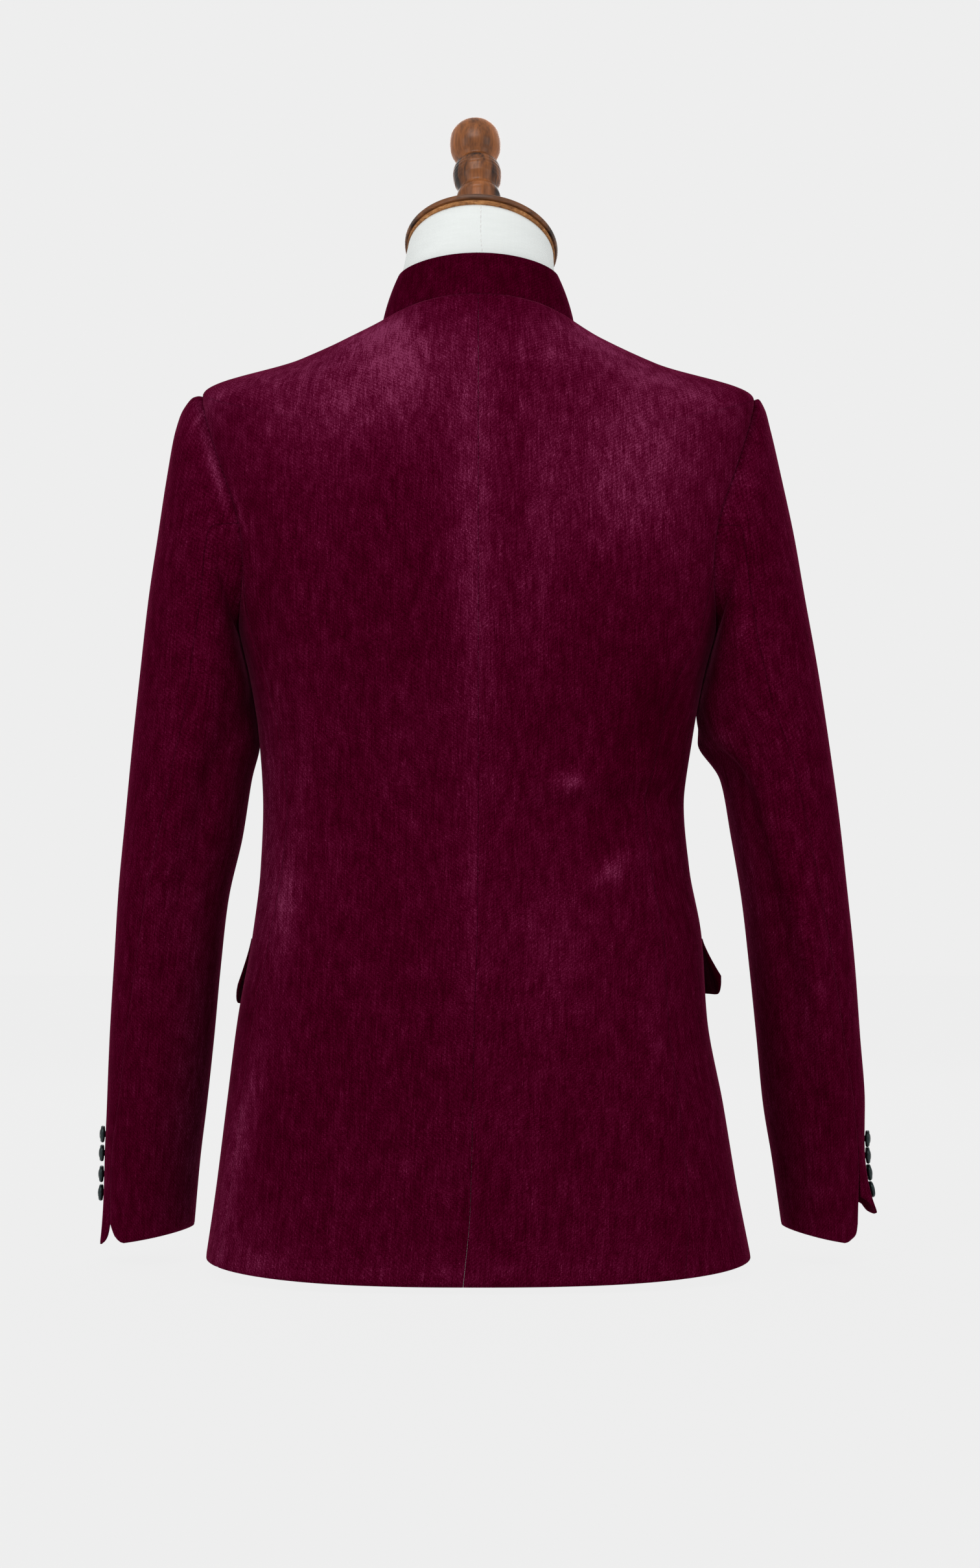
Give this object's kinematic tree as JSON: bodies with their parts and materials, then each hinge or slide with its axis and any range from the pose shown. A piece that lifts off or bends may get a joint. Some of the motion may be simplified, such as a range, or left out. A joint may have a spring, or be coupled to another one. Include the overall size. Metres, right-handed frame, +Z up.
{
  "type": "prince coat on a limbless dress form",
  "caption": "Stand-collar hip-length velvet coat with long two-piece sleeves, buttoned in front, worn open at hem and cuffs by a padded limbless form with a turned wooden neck finial",
  "frame": {"origin": "middle of the form's flat base, where the part stands", "axes": "+Z up; -Y is the way the wearer faces and +Y the coat's back; +X is the wearer's left"},
  "size_m": [0.6453, 0.29, 0.9542],
  "materials": {
    "velvet": "deep wine cotton velvet with a short pile",
    "linen": "off-white linen cover",
    "walnut": "stained walnut, satin varnish",
    "button_metal": "blackened, rimmed and slightly worn"
  },
  "bodies": {
    "root": {"back_left": "velvet", "back_right": "velvet", "side_left": "velvet", "side_right": "velvet", "front_left": "velvet", "front_right": "velvet", "collar": "velvet", "upper_sleeve_left": "velvet", "upper_sleeve_right": "velvet", "under_sleeve_left": "velvet", "under_sleeve_right": "velvet", "flap_left": "velvet", "flap_right": "velvet", "cuff_button_left_1": "button_metal", "cuff_button_left_2": "button_metal", "cuff_button_left_3": "button_metal", "cuff_button_left_4": "button_metal", "cuff_button_right_1": "button_metal", "cuff_button_right_2": "button_metal", "cuff_button_right_3": "button_metal", "cuff_button_right_4": "button_metal", "front_button_1": "button_metal", "front_button_2": "button_metal", "front_button_3": "button_metal", "front_button_4": "button_metal", "front_button_5": "button_metal", "form_body": "linen", "form_cap": "walnut", "form_finial": "walnut"}
  },
  "joints": []
}
